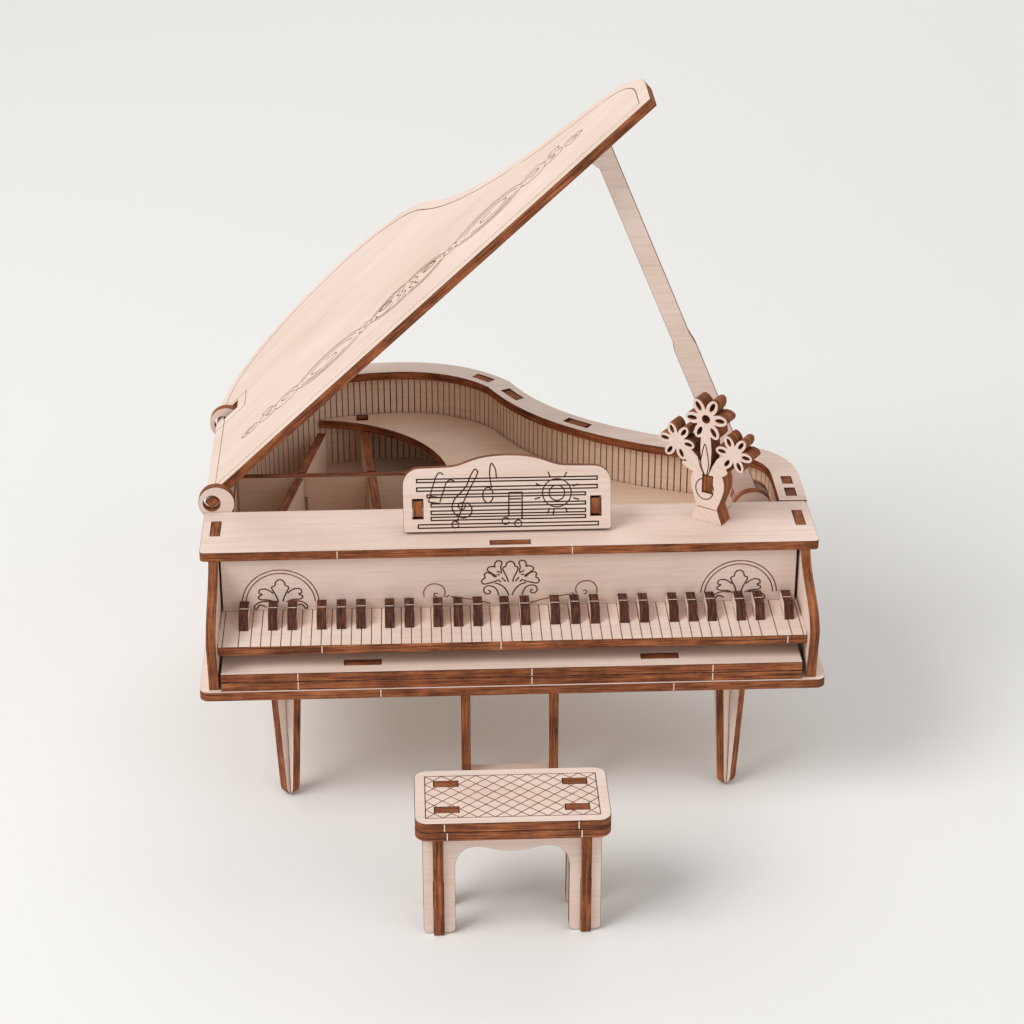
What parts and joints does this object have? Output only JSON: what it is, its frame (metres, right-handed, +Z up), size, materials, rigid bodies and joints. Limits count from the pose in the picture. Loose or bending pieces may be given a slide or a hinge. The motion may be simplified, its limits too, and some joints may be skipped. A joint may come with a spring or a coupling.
{
  "type": "wooden grand piano construction puzzle",
  "caption": "Grand piano 3D jigsaw built from laser-cut plywood sheets, with a hinged lid on a stay, a stool and a flower vase.",
  "frame": {"origin": "middle of the footprint of piano and stool, on the surface they stand on", "axes": "+Z up, the keyboard and the stool face -Y, +X is the treble side"},
  "size_m": [0.131, 0.1596, 0.1457],
  "materials": {
    "plywood": "matte, laser cut",
    "black_key": "matte, laser cut",
    "pin": "matte, laser cut"
  },
  "bodies": {
    "piano": {"base_board": "plywood", "leg_front_left_a": "plywood", "leg_front_left_b": "plywood", "leg_front_right_a": "plywood", "leg_front_right_b": "plywood", "leg_rear_a": "plywood", "leg_rear_b": "plywood", "lyre_post_left": "plywood", "lyre_post_right": "plywood", "pedal_board": "plywood", "key_slip_lower": "plywood", "key_slip_upper": "plywood", "slip_peg_left": "plywood", "slip_peg_right": "plywood", "key_board": "plywood", "black_keys_01": "black_key", "black_keys_02": "black_key", "black_keys_03": "black_key", "black_keys_04": "black_key", "black_keys_05": "black_key", "black_keys_06": "black_key", "black_keys_07": "black_key", "black_keys_08": "black_key", "black_keys_09": "black_key", "black_keys_10": "black_key", "black_keys_11": "black_key", "cheek_left": "plywood", "cheek_right": "plywood", "fallboard": "plywood", "top_board": "plywood", "front_bulkhead": "plywood", "spine_wall": "plywood", "treble_wall": "plywood", "tail_wall": "plywood", "soundboard": "plywood", "rib_left": "plywood", "rib_right": "plywood", "cross_brace": "plywood", "rim_top": "plywood", "hinge_plate_front": "plywood", "hinge_plate_rear": "plywood", "stay_ear_front": "plywood", "stay_ear_rear": "plywood", "stay_pin": "pin", "music_desk": "plywood", "desk_bracket_left": "plywood", "desk_bracket_right": "plywood"},
    "lid": {"lid": "plywood"},
    "stay": {"lid_stay": "plywood"},
    "vase": {"vase_front": "plywood", "vase_back": "plywood", "vase_stand": "plywood"},
    "stool": {"seat_lower": "plywood", "seat_upper": "plywood", "bench_panel_front": "plywood", "bench_panel_rear": "plywood", "bench_side_left": "plywood", "bench_side_right": "plywood"}
  },
  "joints": [
    {"name": "lid_hinge", "type": "hinge", "parent": "piano", "child": "lid", "pos_m": [-0.06267, 0.00125, 0.0581], "axis": [0, -1, 0], "range_deg": [0, 45]},
    {"name": "stay_pivot", "type": "hinge", "parent": "piano", "child": "stay", "pos_m": [0.05493, 0.01135, 0.0502], "axis": [0, -1, 0], "range_deg": [0, 59.5]},
    {"name": "vase_lift", "type": "slide", "parent": "piano", "child": "vase", "axis": [0, 0, 1], "range_m": [0, 0.04]},
    {"name": "stool_push", "type": "slide", "parent": "piano", "child": "stool", "axis": [0, 1, 0], "range_m": [-0.04, 0.025]}
  ],
  "couplings": [
    {"joint": "stay_pivot", "follows": "lid_hinge", "ratio": 1.32}
  ]
}
